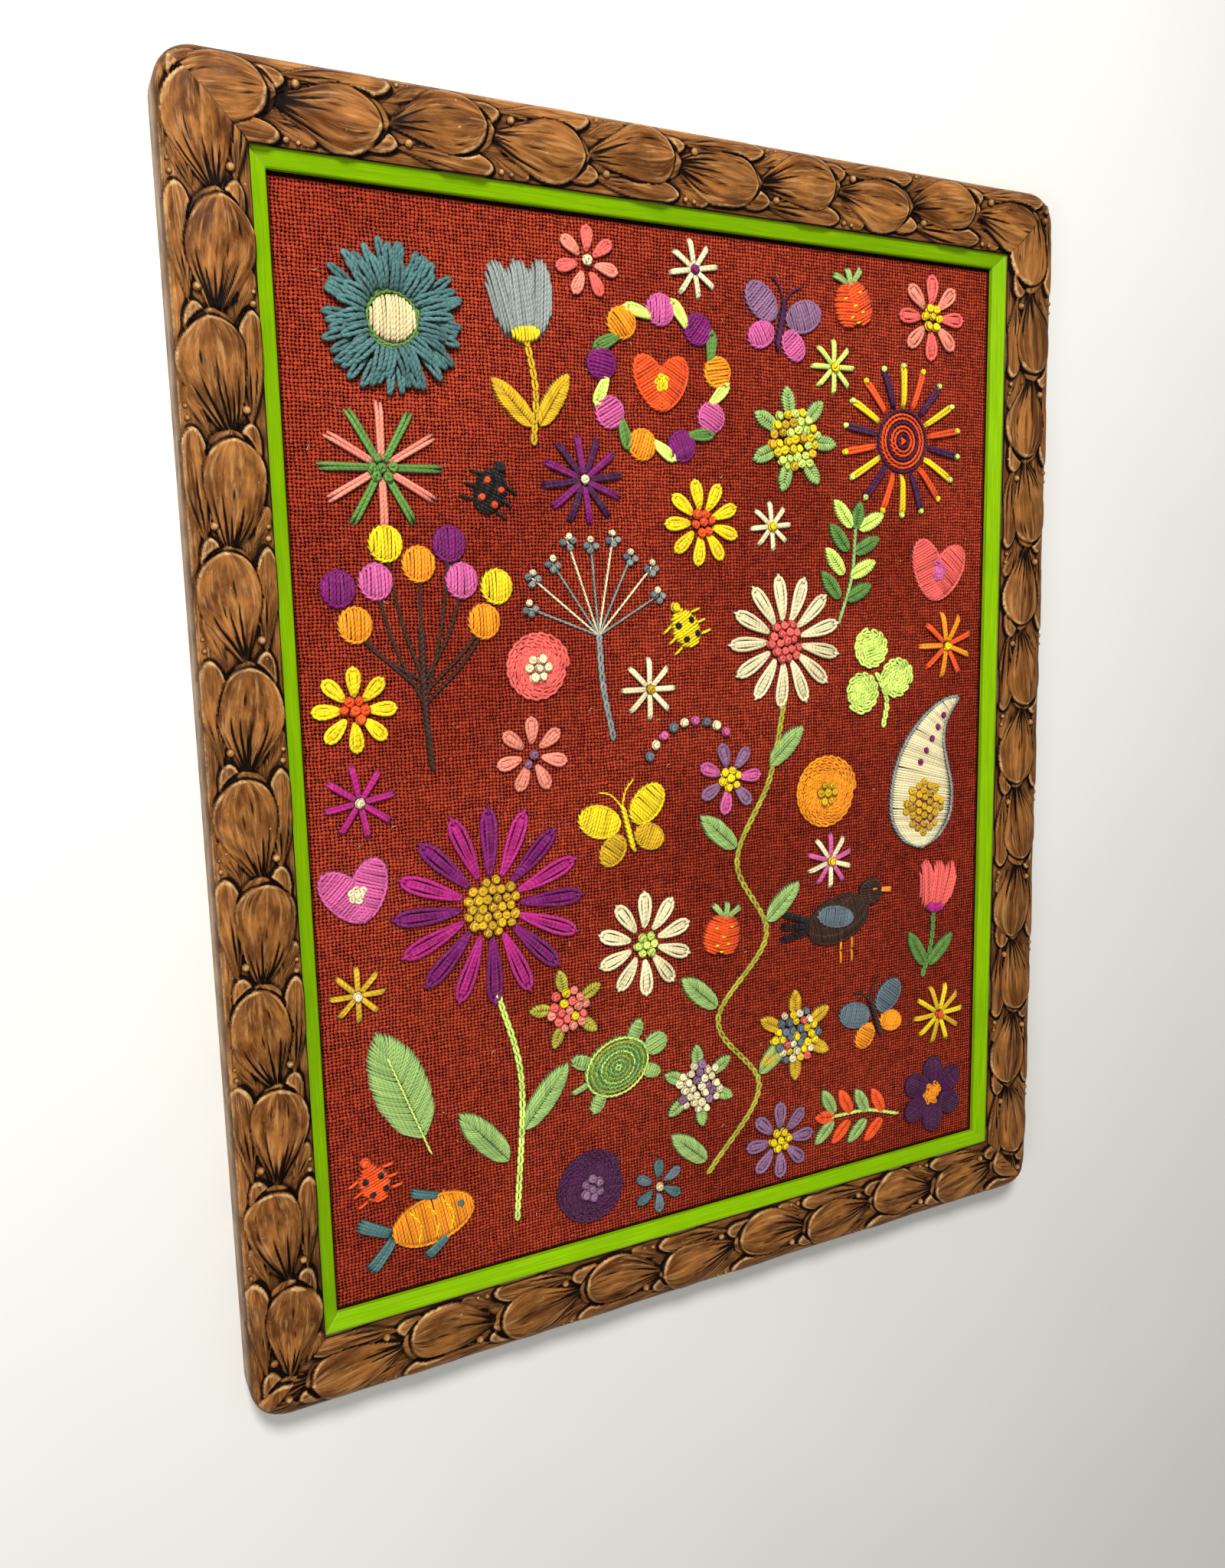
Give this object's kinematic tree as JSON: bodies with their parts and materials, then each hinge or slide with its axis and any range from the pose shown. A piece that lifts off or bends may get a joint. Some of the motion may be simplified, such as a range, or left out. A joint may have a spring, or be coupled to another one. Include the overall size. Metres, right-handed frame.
{
  "type": "framed embroidery in a carved wooden picture frame with a green slip",
  "caption": "Upright carved wooden frame with a green slip round a stretched jute cloth, worked in raised wool stitches with flowers, leaves and small animals.",
  "frame": {"origin": "middle of the flat back, on the surface that the picture lies on", "axes": "+X to the picture's right, +Y to its top, +Z out of its face"},
  "size_m": [0.643, 0.792, 0.029],
  "materials": {
    "carved_wood": "brown stained, waxed, worn on the high places",
    "green_paint": "satin lime green paint",
    "rust_jute": "coarse matte plain weave",
    "wool_yarn": "matte twisted wool in many colours"
  },
  "bodies": {
    "root": {"frame_top": "carved_wood", "frame_right": "carved_wood", "frame_bottom": "carved_wood", "frame_left": "carved_wood", "slip_top": "green_paint", "slip_right": "green_paint", "slip_bottom": "green_paint", "slip_left": "green_paint", "embroidered_cloth": "rust_jute"}
  },
  "joints": []
}
